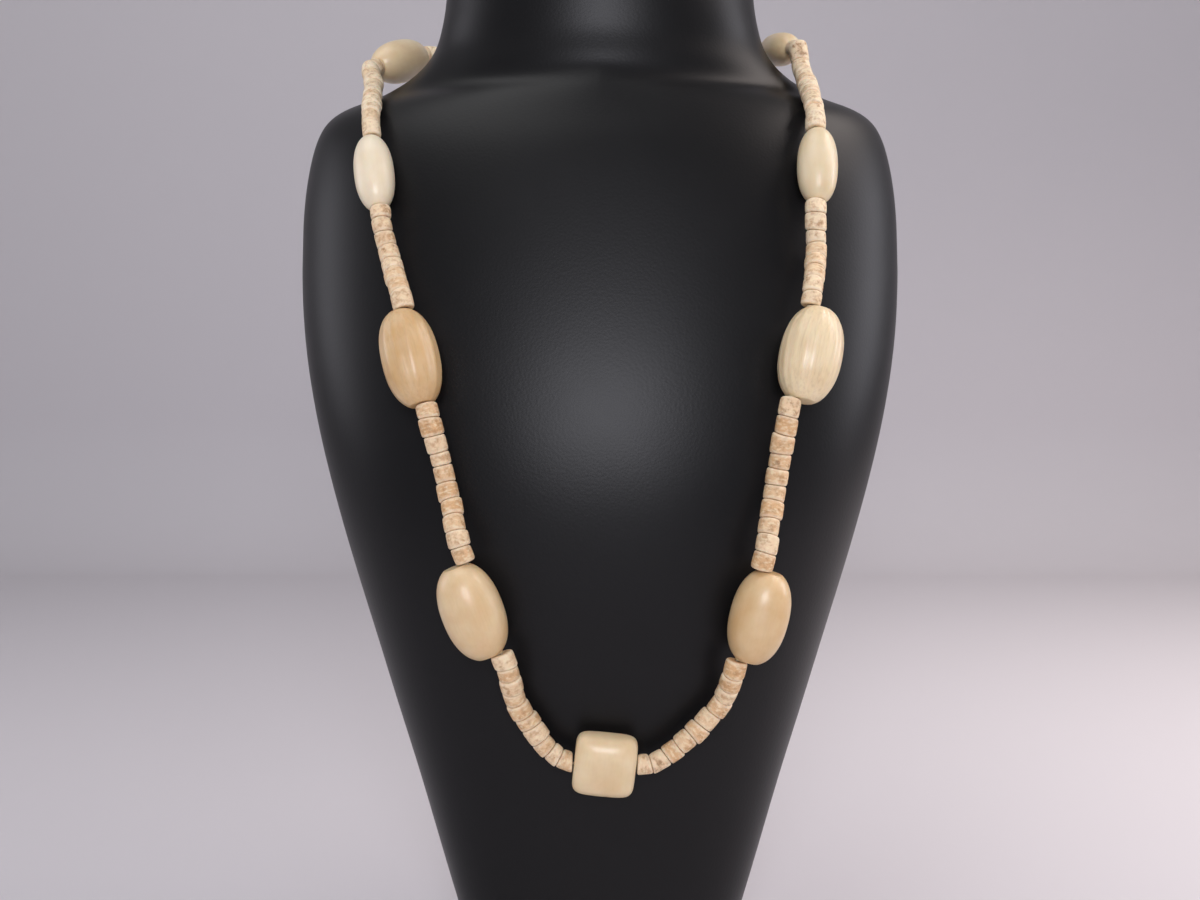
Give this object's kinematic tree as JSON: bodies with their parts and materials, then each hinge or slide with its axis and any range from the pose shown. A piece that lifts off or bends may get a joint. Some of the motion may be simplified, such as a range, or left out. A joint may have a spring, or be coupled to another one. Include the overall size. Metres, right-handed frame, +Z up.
{
  "type": "beaded necklace on neck bust",
  "caption": "Long necklace of polished bone ovals and runs of cut bone discs with a squared centre bead, on a plain black neck bust.",
  "frame": {"origin": "on the surface that the bust stands on, at the middle of the bust's flat foot", "axes": "+Z up, the chest and the squared bead face -Y, and +X is to the right as seen from the front"},
  "size_m": [0.231, 0.1533, 0.39],
  "materials": {
    "black_padding": "satin black leatherette",
    "bone": "polished bone, warm cream",
    "pale_bone": "polished bone, whiter",
    "sawn_bone": "matte sawn bone, tan",
    "clasp_brass": "plain brass",
    "cotton_thread": "twisted cotton"
  },
  "bodies": {
    "root": {"neck_bust": "black_padding", "centre_bead": "bone", "right_oval_1": "bone", "right_oval_2": "bone", "right_oval_3": "pale_bone", "right_oval_4": "bone", "left_oval_1": "bone", "left_oval_2": "bone", "left_oval_3": "pale_bone", "left_oval_4": "bone", "right_run_1": "sawn_bone", "right_run_2": "sawn_bone", "right_run_3": "sawn_bone", "right_run_4": "sawn_bone", "right_run_5": "sawn_bone", "left_run_1": "sawn_bone", "left_run_2": "sawn_bone", "left_run_3": "sawn_bone", "left_run_4": "sawn_bone", "left_run_5": "sawn_bone", "clasp": "clasp_brass", "thread": "cotton_thread"}
  },
  "joints": []
}
